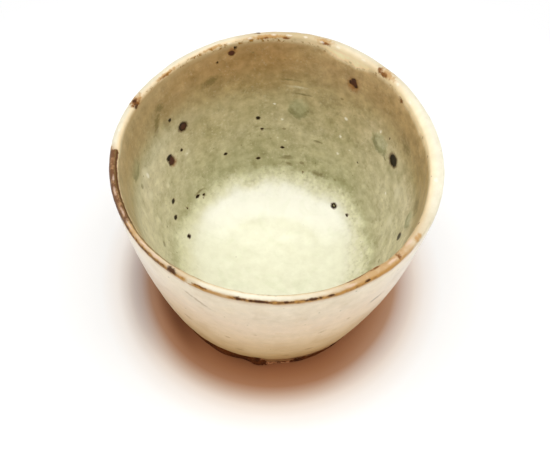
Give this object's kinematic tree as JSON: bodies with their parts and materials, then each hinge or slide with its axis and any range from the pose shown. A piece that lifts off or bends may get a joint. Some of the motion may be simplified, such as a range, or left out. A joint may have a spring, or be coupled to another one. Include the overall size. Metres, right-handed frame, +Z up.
{
  "type": "soba choko cup",
  "caption": "Small wheel-thrown stoneware cup with a flaring wall, a celadon inside, a cream outside, an iron-stained lip and a bare foot ring; holds dipping sauce or tea.",
  "frame": {"origin": "centre of the foot, on the surface that the cup stands on", "axes": "+Z up along the axis that the cup was thrown on, -Y towards the picture's camera"},
  "size_m": [0.0822, 0.0822, 0.0593],
  "materials": {
    "bare_clay": "unglazed reddish brown stoneware, matte",
    "celadon_glaze": "pale green ash glaze with iron spots, glossy",
    "cream_glaze": "pinkish cream glaze, satin gloss",
    "iron_glaze": "thin glaze broken over iron-rich clay, satin"
  },
  "bodies": {
    "root": {"clay_body": "bare_clay", "foot_ring": "bare_clay", "inside_glaze": "celadon_glaze", "outside_glaze": "cream_glaze", "lip_glaze": "iron_glaze"}
  },
  "joints": []
}
